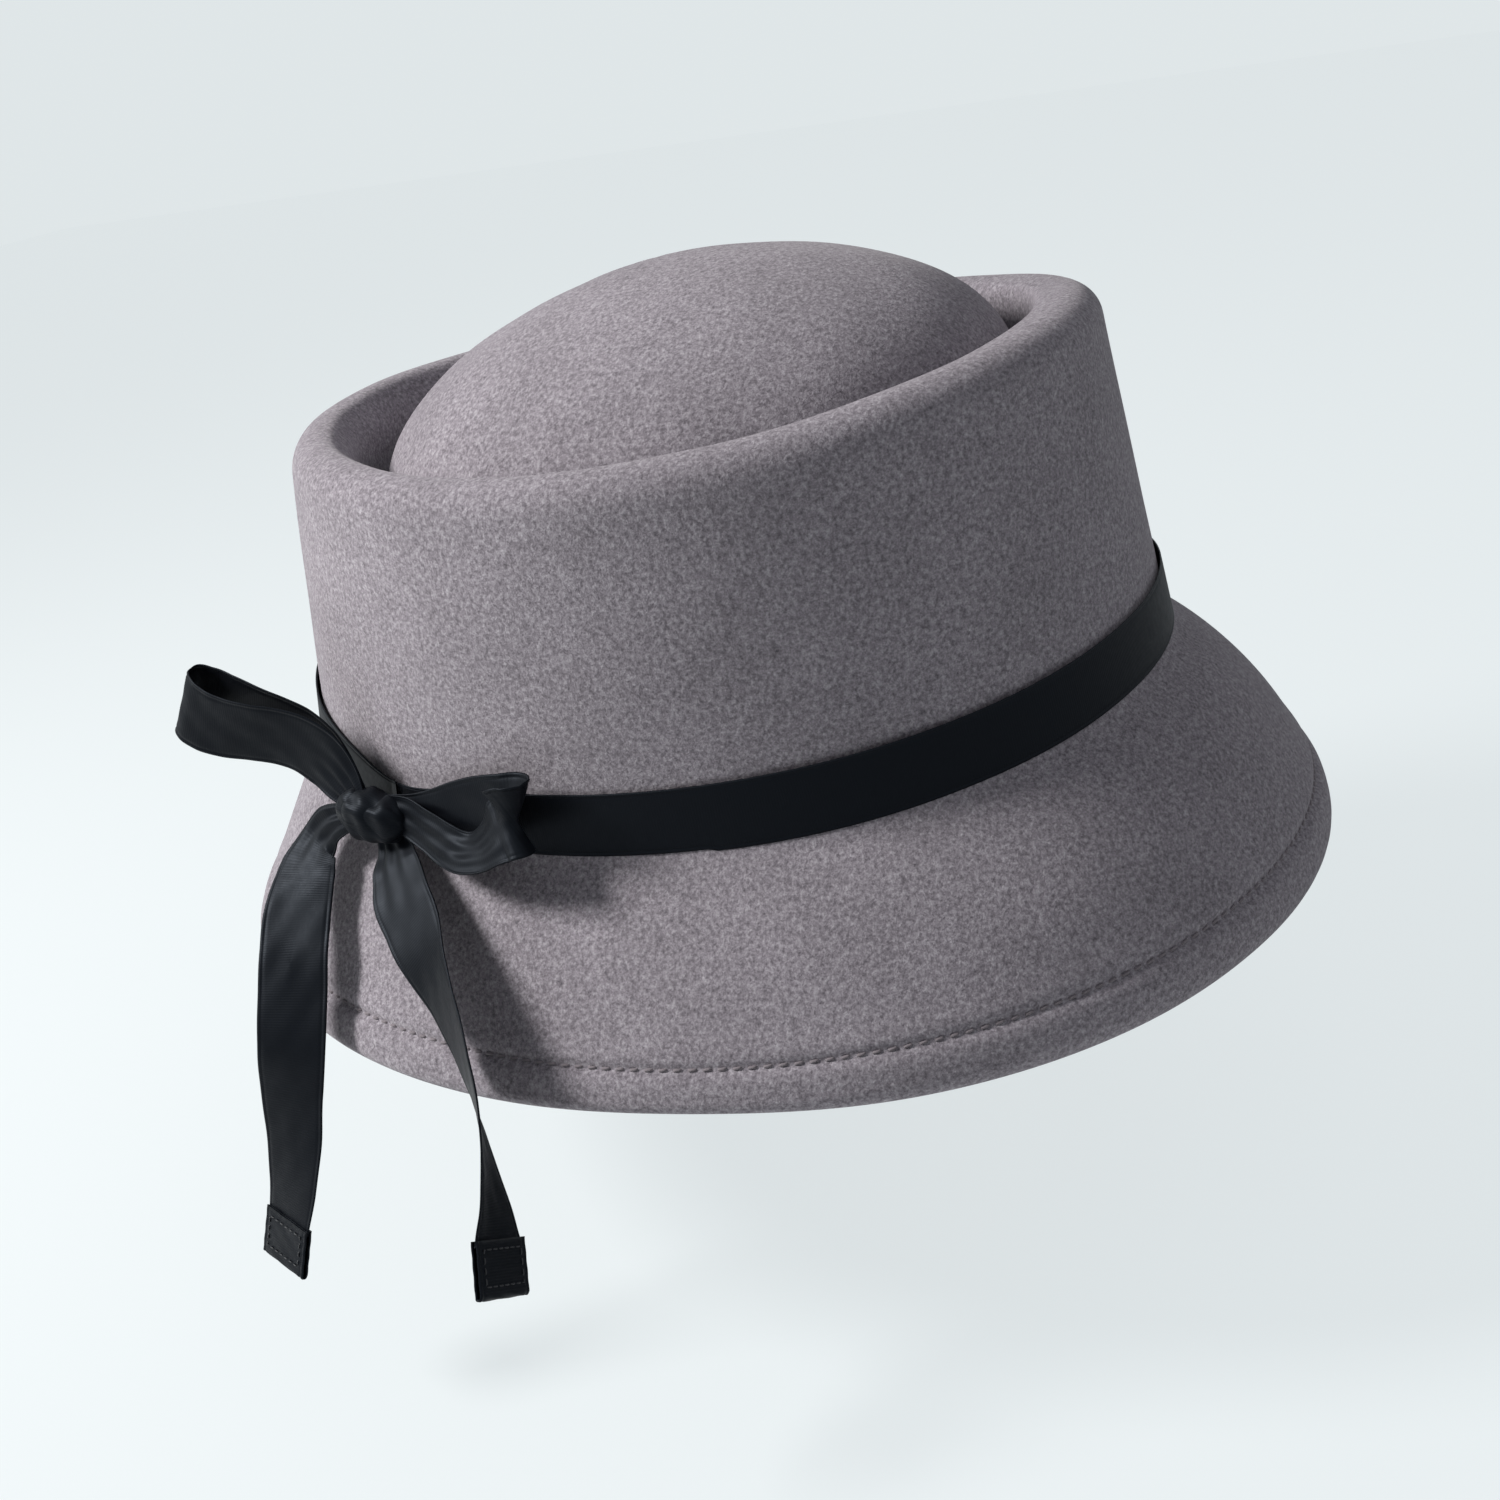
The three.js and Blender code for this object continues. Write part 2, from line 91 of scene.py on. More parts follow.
def addMesh(name, points, faces, material, uvs=None):
    mesh = bpy.data.meshes.new(name)
    mesh.from_pydata((np.asarray(points) * metres).tolist(), [], [list(map(int, f)) for f in faces])
    if uvs is not None:
        layer = mesh.uv_layers.new(name="cloth")
        corners = np.zeros(len(mesh.loops), np.int32)
        mesh.loops.foreach_get("vertex_index", corners)
        layer.data.foreach_set("uv", (np.asarray(uvs) * metres)[corners].astype(np.float32).ravel())
    mesh.validate()
    mesh.shade_smooth()
    mesh.materials.append(material)
    piece = bpy.data.objects.new(name, mesh)
    bpy.context.scene.collection.objects.link(piece)
    return piece


# Materials.
def linear(hexColour):
    parts = [int(hexColour[i:i + 2], 16) / 255 for i in (1, 3, 5)]
    return tuple(c / 12.92 if c <= 0.04045 else ((c + 0.055) / 1.055) ** 2.4 for c in parts) + (1,)


def newMaterial(name, colour, roughness, **inputs):
    material = bpy.data.materials.new(name)
    material.use_nodes = True
    shader = material.node_tree.nodes["Principled BSDF"]
    shader.inputs["Base Color"].default_value = linear(colour)
    shader.inputs["Roughness"].default_value = roughness
    shader.inputs["IOR"].default_value = inputs.pop("ior", 1.5)
    for key, value in inputs.items():
        socket = shader.inputs[key.replace("_", " ")]
        socket.default_value = linear(value) if isinstance(value, str) else value
    return material, material.node_tree, shader


def addNode(tree, kind, inputs=(), **settings):
    node = tree.nodes.new(kind)
    for key, value in settings.items():
        setattr(node, key, value)
    for key, value in dict(inputs).items():
        if isinstance(value, bpy.types.NodeSocket):
            tree.links.new(value, node.inputs[key])
        else:
            node.inputs[key].default_value = value
    return node


# Noise whose patches are about `size` millimetres across.
def patches(tree, where, size, detail=3.0, roughness=0.55):
    return addNode(tree, "ShaderNodeTexNoise", {
        "Vector": where, "Scale": 1 / (size * metres), "Detail": detail, "Roughness": roughness,
    }).outputs["Fac"]


def ramp(tree, value, stops):
    node = addNode(tree, "ShaderNodeValToRGB", {"Fac": value})
    while len(node.color_ramp.elements) < len(stops):
        node.color_ramp.elements.new(0.5)
    for element, (place, colour) in zip(node.color_ramp.elements, stops):
        element.position = place
        element.color = linear(colour)
    return node.outputs["Color"]


def mix(tree, share, a, b, blend="MIX"):
    node = addNode(tree, "ShaderNodeMix", data_type="RGBA", blend_type=blend)
    for key, value in ((0, share), (6, a), (7, b)):
        if isinstance(value, bpy.types.NodeSocket):
            tree.links.new(value, node.inputs[key])
        else:
            node.inputs[key].default_value = value
    return node.outputs[2]


def bump(tree, height, distance, strength=1.0, under=None):
    inputs = {"Height": height, "Distance": distance * metres, "Strength": strength}
    if under is not None:
        inputs["Normal"] = under
    return addNode(tree, "ShaderNodeBump", inputs).outputs["Normal"]


# Blocked wool felt: matt and softly mottled, with tufts about a millimetre across. A real fibre is 0.02 mm
# thick, too fine to show, so fibres are drawn at 0.4 mm.
feltLook = {"colour": "#a099a1", "dark": "#6a656c", "light": "#d0cbd2", "fibre": 0.4, "tuft": 0.95,
            "cloud": 22, "napHeight": 0.22, "fibreHeight": 0.12}


def woolFelt():
    material, tree, shader = newMaterial(
        "woolFelt", feltLook["colour"], 0.95, Sheen_Weight=0.25, Sheen_Roughness=0.6,
        Sheen_Tint="#e8e2e4", Specular_IOR_Level=0.15,
    )
    where = addNode(tree, "ShaderNodeTexCoord").outputs["Object"]
    tuft = patches(tree, where, feltLook["tuft"], 4, 0.7)
    fibre = patches(tree, where, feltLook["fibre"], 2)
    cloud = patches(tree, where, feltLook["cloud"], 2)
    tones = [(0.28, feltLook["dark"]), (0.5, feltLook["colour"]), (0.74, feltLook["light"])]
    mottle = ramp(tree, tuft, tones)
    speckle = ramp(tree, fibre, [(0.32, "#a8a8a8"), (0.5, "#d8d8d8"), (0.7, "#ffffff")])
    fine = mix(tree, 0.55, mottle, speckle, "MULTIPLY")
    drift = ramp(tree, cloud, [(0.3, "#e6e6e6"), (0.7, "#ffffff")])
    tree.links.new(mix(tree, 0.6, fine, drift, "MULTIPLY"), shader.inputs["Base Color"])
    nap = bump(tree, tuft, feltLook["napHeight"], 0.7)
    tree.links.new(bump(tree, fibre, feltLook["fibreHeight"], 0.6, nap), shader.inputs["Normal"])
    return material


satinLook = {"colour": "#07080c", "roughness": 0.5, "rib": 0.56, "ribHeight": 0.03}
grosgrainLook = {"colour": "#18181c", "roughness": 0.78, "rib": 1.8, "ribHeight": 0.16}
waveRadians = 20  # the wave texture's own phase in one unit


# Woven ribbon: ribs run across it, `rib` mm apart. Both weaves are finer than that on a real ribbon, and are
# drawn coarser so that they show.
def ribbonCloth(name, look, **inputs):
    roughness = look["roughness"]
    material, tree, shader = newMaterial(name, look["colour"], roughness, **inputs)
    where = addNode(tree, "ShaderNodeUVMap", uv_map="cloth").outputs["UV"]
    lines = addNode(tree, "ShaderNodeTexWave", {
        "Vector": where, "Scale": 2 * math.pi / (waveRadians * look["rib"] * metres), "Distortion": 0.6,
        "Detail": 2, "Detail Scale": 1.5,
    }, wave_type="BANDS", bands_direction="Y").outputs["Fac"]
    slub = patches(tree, addNode(tree, "ShaderNodeTexCoord").outputs["Object"], 1.6, 3)
    rough = addNode(tree, "ShaderNodeMapRange", {"Value": slub, "To Min": roughness - 0.07,
                                                 "To Max": roughness + 0.09}).outputs["Result"]
    tree.links.new(rough, shader.inputs["Roughness"])
    grain = bump(tree, lines, look["ribHeight"], 0.5)
    tree.links.new(bump(tree, slub, 0.06, 0.4, grain), shader.inputs["Normal"])
    return material


felt = woolFelt()
# Woven satin: nearly black, with a soft cool sheen where it turns to the light.
satin = ribbonCloth("blackSatin", satinLook, Specular_IOR_Level=0.18, Specular_Tint="#c3d2e6",
                    Sheen_Weight=0.02, Sheen_Tint="#8fa0b5", Sheen_Roughness=0.35, Anisotropic=0.3)
# Ribbed grosgrain: duller than the satin, with ribs that catch the light.
grosgrain = ribbonCloth("blackGrosgrain", grosgrainLook, Specular_IOR_Level=0.3)
# Spun threads: matt grey on the felt, and black with a slight gloss on the ribbon.
greyThread = newMaterial("greyCottonThread", "#7b7378", 0.75, Sheen_Weight=0.3)[0]
blackThread = newMaterial("blackPolyesterThread", "#1a1b20", 0.5)[0]
# Drawn metals: an even, half-bright surface.
steel = newMaterial("springSteel", "#8f9397", 0.32, Metallic=1.0)[0]
brass = newMaterial("brass", "#b0904e", 0.35, Metallic=1.0)[0]
print("materials made")

# The oval block.
block = {
    "headRadius": 95.2, "crownHeight": 74.5, "rimRadius": 88.4, "rimRoll": 6.9, "moatWidth": 4.4,
    "moatDepth": 18.5, "domeHeight": 97.2, "domeSquareness": 1.85, "brimRadius": 126.1,
    "brimDrop": 43.9, "brimBulge": 2.4, "brimFrontBell": 2.8, "feltThickness": 2.4,
    "headOvality": 0.0919, "rimOvality": 0.0475, "brimOvality": 0.0634, "fullness": 0.0107,
    "headSideDip": 4.7, "rimSideDip": 2.5, "brimSideDip": 1.4, "rimBackDip": 2.8, "brimBackDip": 0.3,
    "domeBackDip": 6.1, "rimShift": -1, "brimShift": -2.3,
}
headRadius, rimRadius, rimRoll = block["headRadius"], block["rimRadius"], block["rimRoll"]
moatWidth, brimDrop = block["moatWidth"], block["brimDrop"]
thick = block["feltThickness"]
brimLength = math.hypot(block["brimRadius"] - headRadius, brimDrop)
brimAcross = np.array([brimDrop, block["brimRadius"] - headRadius]) / brimLength
brimAlong = np.array([brimAcross[1], -brimAcross[0]])
rollCentre = np.array([rimRadius - rimRoll, block["crownHeight"] - rimRoll])
moatFloor = block["crownHeight"] - block["moatDepth"]
domeRadius = rimRadius - 2 * rimRoll - moatWidth
moatCentre = np.array([domeRadius + moatWidth / 2, moatFloor + moatWidth / 2])


def byLevel(z, atEdge, atHead, atRim):
    below = lerp(atHead, atEdge, np.clip(-z / brimDrop, 0, 1))
    above = lerp(atHead, atRim, np.clip(z / rollCentre[1], 0, 1))
    return np.where(z < 0, below, above)


# The round hat's point at an angle, a radius and a height, moved to the oval hat.
def onBlock(angle, radius, z):
    angle, radius, z = np.broadcast_arrays(*(np.asarray(x, float) for x in (angle, radius, z)))
    ovality = byLevel(z, block["brimOvality"], block["headOvality"], block["rimOvality"])
    down = np.clip(-z / brimDrop, 0, 1)
    bell = -block["brimFrontBell"] * 4 * down * (1 - down) * np.sin(angle)
    wide = radius + bell * brimAcross[0]
    fullness = 1 + block["fullness"] * np.sin(2 * angle) ** 2
    moatRadius = rimRadius - 2 * rimRoll - moatWidth / 2
    nearAxis = np.minimum(1, radius / moatRadius)
    inDome = 1 - smooth(radius, moatRadius, moatRadius + rimRoll)
    ringDip = byLevel(z, block["brimBackDip"], 0, block["rimBackDip"])
    backDip = lerp(ringDip, block["domeBackDip"], inDome) * nearAxis
    sideDip = byLevel(z, block["brimSideDip"], block["headSideDip"], block["rimSideDip"]) * nearAxis ** 2
    forwardShift = byLevel(z, block["brimShift"], 0, block["rimShift"])
    return np.stack([
        wide * (1 - ovality) * fullness * np.cos(angle),
        forwardShift + wide * (1 + ovality) * fullness * np.sin(angle),
        z + bell * brimAcross[1] - backDip * np.sin(angle) - sideDip * np.cos(2 * angle),
    ], -1)


def arc(centre, radius, start, end, steps):
    turn = np.radians(np.linspace(start, end, steps + 1))
    return np.stack([centre[0] + radius * np.cos(turn), centre[1] + radius * np.sin(turn)], -1)


# The dome's line from its top to its foot, `inset` inside its outer face.
def domeLine(steps, inset=0):
    base = moatFloor + moatWidth / 2
    rise = np.pi / 2 * (1 - np.linspace(0, 1, steps + 1) ** 0.9)
    power = 2 / block["domeSquareness"]
    radius = (domeRadius - inset) * np.maximum(np.cos(rise), 0) ** power
    radius[0] = 0
    return np.stack([radius, base + (block["domeHeight"] - inset - base) * np.sin(rise) ** power], -1)


def wallPoint(share, outward=0):
    share = np.asarray(share, float)
    return np.stack([lerp(headRadius, rimRadius, share) + outward, rollCentre[1] * share], -1)


# The brim's outer face from the head opening (0) to the edge (1).
def brimPoint(share, outward=0):
    share = np.asarray(share, float)[..., None]
    bulge = block["brimBulge"] * 4 * share * (1 - share)
    return np.array([headRadius, 0]) + brimAlong * brimLength * share + brimAcross * (bulge + outward)


def aboveEdge(distance, outward=0):
    return brimPoint(1 - np.asarray(distance, float) / brimLength, outward)


# The felt.
feltShape = {"columns": 400, "stitchLine": 9.5, "hemDepth": 12, "channel": 1.55, "leafGap": 0.3,
             "groove": 0.75, "puff": 0.35, "lump": 0.28, "edgeWave": 0.7, "frontFlip": 1.8,
             "frontSpread": 42, "bandMiddle": 6, "bandReach": 11, "bandRadius": 85}
profileSteps = {"brim": 26, "edge": 22, "turn": 16}  # rows of the outer face's last three parts
foldRadius = feltShape["channel"] + thick
wirePlace = aboveEdge(foldRadius, -foldRadius)
foldStart = math.degrees(math.atan2(*(aboveEdge(foldRadius) - wirePlace)[::-1]))
leafFace = -2 * thick - feltShape["leafGap"]

outer = np.concatenate([
    domeLine(44),
    arc(moatCentre, moatWidth / 2, 180, 360, 10)[1:],
    arc(rollCentre, rimRoll, 180, 0, 26),
    wallPoint(np.linspace(0.96, 0.03, 16)),
    brimPoint(np.linspace(0.02, 0.74, profileSteps["brim"])),
    aboveEdge(np.linspace(13.6, foldRadius + 0.2, profileSteps["edge"])),
    arc(wirePlace, foldRadius, foldStart, foldStart - 180, profileSteps["turn"]),
])
leaf = aboveEdge(np.linspace(foldRadius + 0.6, feltShape["hemDepth"], 12), leafFace)
inner = np.concatenate([
    aboveEdge([feltShape["hemDepth"], feltShape["stitchLine"], 6], -thick - feltShape["leafGap"]),
    arc(wirePlace, feltShape["channel"], foldStart - 180, foldStart, 8),
    brimPoint(np.linspace(0.72, 0.06, 12), -thick),
    wallPoint(np.linspace(0.04, 0.95, 8), -thick),
    arc(rollCentre, rimRoll - thick, 0, 180, 12),
    arc(moatCentre, moatWidth / 2 + thick, 360, 180, 8),
    domeLine(16, thick)[::-1][1:],
])


# Rounds a profile's corners: each point moves towards the mean of its neighbours.
def eased(profile, passes):
    line = profile.copy()
    for _ in range(passes):
        line[1:-1] = 0.5 * line[1:-1] + 0.25 * (line[:-2] + line[2:])
    return line


# What hand blocking leaves: slow waves, flattened where the ribbon lies, and a brim that lifts in front.
def feltRelief(angle, row, z, down, radius):
    waves = (0.5 * np.sin(3 * angle + 0.6) + 0.35 * np.sin(5 * angle + row * 0.05 + 2)
             + 0.3 * np.sin(8 * angle - row * 0.11) + 0.25 * np.sin(13 * angle + row * 0.17 + 1))
    underBand = np.exp(-(((z - feltShape["bandMiddle"]) / feltShape["bandReach"]) ** 4))
    underBand = underBand * (radius > feltShape["bandRadius"])
    relief = feltShape["lump"] * waves * np.clip(radius / 30, 0, 1) * (1 - 0.85 * underBand)
    edgeWave = 0.6 * np.sin(3 * angle + 1) + 0.4 * np.sin(7 * angle)
    relief = relief + feltShape["edgeWave"] * down ** 2 * edgeWave
    fromFront = np.degrees(np.arctan2(np.sin(angle + np.pi / 2), np.cos(angle + np.pi / 2)))
    front = np.exp(-((fromFront / feltShape["frontSpread"]) ** 2))
    return relief + feltShape["frontFlip"] * front * smooth(down, 0.55, 1) ** 1.5


# The seam pulls a groove into the felt, and the felt swells on both sides of it.
def hemRelief(distance):
    fromLine = distance - feltShape["stitchLine"]
    pressed = -feltShape["groove"] * np.exp(-(fromLine ** 2))
    below = np.exp(-(((fromLine + 3.2) / 2.2) ** 2))
    above = 0.5 * np.exp(-(((fromLine - 2.8) / 2) ** 2))
    return pressed + feltShape["puff"] * (below + above)


def feltSurface(profile, isOuter):
    profile = eased(profile, 3)
    angle = np.linspace(0, 2 * np.pi, feltShape["columns"], endpoint=False)[None]
    radius, z = profile[:, :1], profile[:, 1:]
    points = onBlock(angle, radius, z)
    around = np.roll(points, -1, 1) - np.roll(points, 1, 1)
    along = np.gradient(points, axis=0)
    normal = np.cross(along, around)
    length = np.linalg.norm(normal, axis=-1, keepdims=True)
    normal = np.where(length > 1e-6, normal / np.maximum(length, 1e-6), [0, 0, 1])
    down = np.clip(-z / brimDrop, 0, 1)
    row = np.cumsum(np.r_[0, np.linalg.norm(np.diff(profile, axis=0), axis=1)])[:, None]
    outwardSide = 1 if isOuter else -1
    relief = feltRelief(angle, row if isOuter else row.max() - row, z, down, radius)
    points = points + outwardSide * relief[..., None] * normal
    return points, normal


outerPoints, outerNormals = feltSurface(outer, True)
brimEnd = len(outer) - profileSteps["turn"] - 1
edgeRows = slice(brimEnd - profileSteps["edge"] - profileSteps["brim"], brimEnd)
edgeDistance = np.full(len(outer), 99.0)  # far from the seam, except on the brim
edgeDistance[edgeRows] = (aboveEdge(0) - outer[edgeRows]) @ brimAlong
outerPoints = outerPoints + (hemRelief(edgeDistance)[:, None, None]) * outerNormals
# The inside takes waves of the same kind, and the hem's inner leaf stays plain.
leafAngle = np.linspace(0, 2 * np.pi, feltShape["columns"], endpoint=False)[None]
leafPoints = onBlock(leafAngle, leaf[:, :1], leaf[:, 1:])
innerPoints, _ = feltSurface(inner, False)
felted = np.concatenate([outerPoints, leafPoints, innerPoints])
rows, columns = felted.shape[:2]
feltFaces = gridFaces(rows, columns, closeColumns=True)
feltPiece = addMesh("felt", felted.reshape(-1, 3), feltFaces, felt)
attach(feltPiece, "hat")
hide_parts("felt_body")
print("felt made", rows, columns)

# Stitches that follow a closed or open line of points on a face.
def alongLine(points, distances, closed):
    line = np.concatenate([points, points[:1]]) if closed else points
    lengths = np.r_[0, np.cumsum(np.linalg.norm(np.diff(line, axis=0), axis=1))]
    return np.stack([np.interp(distances, lengths, line[:, k]) for k in range(3)], -1), lengths[-1]


# Each stitch is a short bent tube that dips into the cloth at both ends.
def addStitches(name, points, normals, stitch, material, closed=True):
    _, total = alongLine(points, [0], closed)
    count = int(round(total / stitch["pitch"]))
    pitch = total / count
    t = np.linspace(-0.5, 0.5, 7)
    fromMiddle = 2 * np.abs(t)
    rise = stitch["rise"] * (1 - fromMiddle ** 3) - stitch["bite"] * fromMiddle ** 6
    fat = stitch["radius"] * (1 - 0.25 * fromMiddle ** 4)
    sides = 6
    turn = np.linspace(0, 2 * np.pi, sides, endpoint=False)
    vertices, faces = [], []
    for i in range(count):
        middle = (i + 0.5) * pitch
        at = middle + t * stitch["length"]
        spots, _ = alongLine(points, at % total if closed else at, closed)
        outward = unit(normals[int(middle / total * len(normals)) % len(normals)])
        forward = unit(spots[4] - spots[2])
        aside = unit(np.cross(outward, forward))
        lean = stitch.get("lean", 0) * t[:, None] * aside
        spots = spots + outward * rise[:, None] + lean
        ring = np.cos(turn)[:, None] * aside + np.sin(turn)[:, None] * outward
        first = len(vertices) * len(t) * sides
        vertices.append(spots[:, None] + ring[None] * fat[:, None, None])
        faces.extend(gridFaces(len(t), sides, closeColumns=True, first=first).tolist())
        faces.append([first + k for k in range(sides)][::-1])
        faces.append([first + (len(t) - 1) * sides + k for k in range(sides)])
    return addMesh(name, np.concatenate([v.reshape(-1, 3) for v in vertices]), faces, material)


hemStitch = {"pitch": 3.0, "length": 2.3, "radius": 0.3, "rise": 0.22, "bite": 0.7, "lean": 0.25}
offLine = np.abs(edgeDistance[edgeRows][::-1] - feltShape["stitchLine"])
stitchRow = brimEnd - int(np.argmin(offLine)) - 1
upper = addStitches("hemStitchesUpper", outerPoints[stitchRow], outerNormals[stitchRow], hemStitch,
                    greyThread)
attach(upper, "hat")
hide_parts("hem_stitching_upper")
leafDistance = (aboveEdge(0, leafFace) - leaf) @ brimAlong
leafRow = int(np.argmin(np.abs(leafDistance - feltShape["stitchLine"])))
leafLine = leafPoints[leafRow]
leafNormals = unit(np.cross(np.roll(leafLine, -1, 0) - leafLine, leafPoints[leafRow + 1] - leafLine))
leafNormals *= np.sign((leafNormals * (leafLine - outerPoints[stitchRow])).sum(-1, keepdims=True))
lower = addStitches("hemStitchesLower", leafLine, leafNormals, dict(hemStitch, rise=0.3, bite=0.3),
                    greyThread)
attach(lower, "hat")
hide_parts("hem_stitching_lower")
print("hem stitched")


# Ribbons.
ribbon = {"width": 16, "thickness": 0.42, "groove": 0.11, "grooveHalf": 0.28, "grooveFromEdge": 1.0}


# Where a ribbon is cut across: denser at its two selvedges. Each value runs from -1 to 1.
def crossing(count):
    edge = np.array([0.965, 0.925, 0.9, 0.875, 0.85, 0.82])
    inside = np.linspace(-0.76, 0.76, count)
    return np.concatenate([-edge, inside, edge[::-1]])


# A closed strip of cloth round a line of centres. `relief` lifts it off its line, by place.
def clothStrip(centres, across, widths, thickness, relief=None, count=15, groove=None):
    centres, across = np.asarray(centres, float), unit(np.asarray(across, float))
    forward = unit(np.gradient(centres, axis=0))
    across = unit(across - (across * forward).sum(-1, keepdims=True) * forward)
    normal = np.cross(forward, across)
    t = crossing(count)
    half = np.asarray(widths, float)[:, None] / 2
    lift = np.zeros((len(centres), len(t))) if relief is None else relief(t)
    groove = ribbon["groove"] if groove is None else groove
    fromEdge = (1 - np.abs(t)) * ribbon["width"] / 2
    dent = groove * np.exp(-(((fromEdge - ribbon["grooveFromEdge"]) / ribbon["grooveHalf"]) ** 2))
    faceHeight = thickness / 2 - dent

    def spread(places, lifts):
        return (centres[:, None] + across[:, None] * (places * half)[..., None]
                + normal[:, None] * lifts[..., None])

    body = spread(t, lift)
    top = body + normal[:, None] * faceHeight[:, None]
    bottom = body - normal[:, None] * faceHeight[:, None]
    rim = spread(np.array([-1, 1]), lift[:, [0, -1]])
    loop = np.concatenate([rim[:, :1], top, rim[:, 1:], bottom[:, ::-1]], axis=1)
    lengths = np.r_[0, np.cumsum(np.linalg.norm(np.diff(centres, axis=0), axis=1))]
    side = np.concatenate([[-1], t, [1], t[::-1]])
    uvs = np.stack([np.broadcast_to(side * ribbon["width"] / 2, loop.shape[:2]),
                    np.broadcast_to(lengths[:, None], loop.shape[:2])], -1)
    return loop, uvs, lengths[-1]


def addCloth(name, strip, material, closed=False):
    loop, uvs, _ = strip
    rowCount, ringCount = loop.shape[:2]
    faces = gridFaces(rowCount, ringCount, closeRows=closed, closeColumns=True).tolist()
    if not closed:
        faces.append(list(range(ringCount)))
        faces.append([(rowCount - 1) * ringCount + k for k in range(ringCount)][::-1])
    return addMesh(name, loop.reshape(-1, 3), faces, material, uvs.reshape(-1, 2))


# Even samples of a smooth line through the stops, each a row of numbers that starts with a place.
def throughStops(stops, count):
    stops = np.array(stops, float)
    knots = np.r_[0, np.cumsum(np.linalg.norm(np.diff(stops[:, :3], axis=0), axis=1))]
    slopes = np.gradient(stops, knots, axis=0)

    def sample(at):
        i = np.clip(np.searchsorted(knots, at, "right") - 1, 0, len(knots) - 2)
        span = (knots[i + 1] - knots[i])[:, None]
        s = (at - knots[i])[:, None] / span
        return ((2 * s ** 3 - 3 * s ** 2 + 1) * stops[i] + (s ** 3 - 2 * s ** 2 + s) * span * slopes[i]
                + (3 * s ** 2 - 2 * s ** 3) * stops[i + 1] + (s ** 3 - s ** 2) * span * slopes[i + 1])

    fine = sample(np.linspace(0, knots[-1], 40 * len(stops)))
    lengths = np.r_[0, np.cumsum(np.linalg.norm(np.diff(fine[:, :3], axis=0), axis=1))]
    even = np.linspace(0, lengths[-1], count)
    return np.stack([np.interp(even, lengths, fine[:, k]) for k in range(stops.shape[1])], -1)


# A place that stands off the felt, on the crown's wall or, below the head opening, on the brim.
def besideFelt(angle, height, standOff):
    onWall = wallPoint(height / rollCentre[1])
    share = np.maximum(-height, 0) / brimLength
    onBrim = brimPoint(share, np.broadcast_to(standOff, share.shape)[..., None])
    onWall[..., 0] += standOff
    spot = np.where((height < 0)[..., None], onBrim, onWall)
    return onBlock(angle, spot[..., 0], spot[..., 1])


# Band round the crown, standing off the felt by `offset`, its lower edge at a height.
def crownBand(band):
    angle = np.radians(np.linspace(band["from"], band["from"] + 360 - band["gap"], band["steps"]))
    along = np.degrees(angle) - band["from"]
    fromEnds = np.minimum(along, 360 - along)
    nearBow = np.exp(-((fromEnds / band.get("pinchSpan", 1)) ** 2))
    sag = band.get("sag", 0) * np.exp(-((fromEnds / band.get("sagSpan", 1)) ** 2))
    standOff = band["offset"] + band.get("ripple", 0) * (np.sin(9 * angle + 1) + np.sin(14 * angle))
    lowPlace = besideFelt(angle, band["lowerEdge"] - sag, standOff)
    highPlace = besideFelt(angle, band["lowerEdge"] + band["width"] - sag, standOff)
    across = unit(highPlace - lowPlace)
    width = np.linalg.norm(highPlace - lowPlace, axis=1) * (1 - band.get("pinch", 0) * nearBow)
    centres = (lowPlace + highPlace) / 2
    return clothStrip(centres, across, width, band["thickness"], count=9, groove=band.get("groove"))


hatBand = {"from": 153.2, "gap": 0.4, "lowerEdge": 0.3, "width": 14, "offset": 0.92, "thickness": 0.42,
           "steps": 320, "ripple": 0.04, "pinch": 0.5, "pinchSpan": 9, "sag": 2.2, "sagSpan": 30}
strip = crownBand(hatBand)
band = addCloth("hatBand", strip, satin)
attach(band, "hat")
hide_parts("hat_band")

sweat = {"from": 90.2, "gap": 0.4, "lowerEdge": 2, "width": 25, "offset": -3.35, "thickness": 0.7,
         "steps": 260, "ripple": 0.04, "groove": 0.05, "seamHeight": 4}
strip = crownBand(sweat)
sweatband = addCloth("sweatband.look", strip, grosgrain)
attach(sweatband, "hat")
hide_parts("sweatband")
sweatRow = wallPoint(sweat["seamHeight"] / rollCentre[1], sweat["offset"] - sweat["thickness"] / 2)
sweatAngle = np.linspace(0, 2 * np.pi, 300, endpoint=False)
sweatLine = onBlock(sweatAngle, sweatRow[0], sweatRow[1])
sweatNormals = unit(onBlock(sweatAngle, sweatRow[0] - 1, sweatRow[1]) - sweatLine)
sweatStitch = {"pitch": 3.2, "length": 2.2, "radius": 0.2, "rise": 0.16, "bite": 0.25}
stitches = addStitches("sweatbandStitches", sweatLine, sweatNormals, sweatStitch, blackThread)
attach(stitches, "hat")
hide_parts("sweatband_stitching")
print("bands made")

# The bow.
# Stops are given as seen from the side the bow faces: right, up and out from the knot, with the
# ribbon's width from edge to edge in the same three directions.
knotPlace = np.array([-82.98, 52.2, 1.16])


def fromBow(rows):
    rows = np.array(rows, float)
    return np.concatenate([knotPlace + rows[:, :3] @ axes, rows[:, 3:6] @ axes], axis=1)


bowCloth = {"steps": 190, "wrinkle": 0.10, "highestPleat": 1.1}


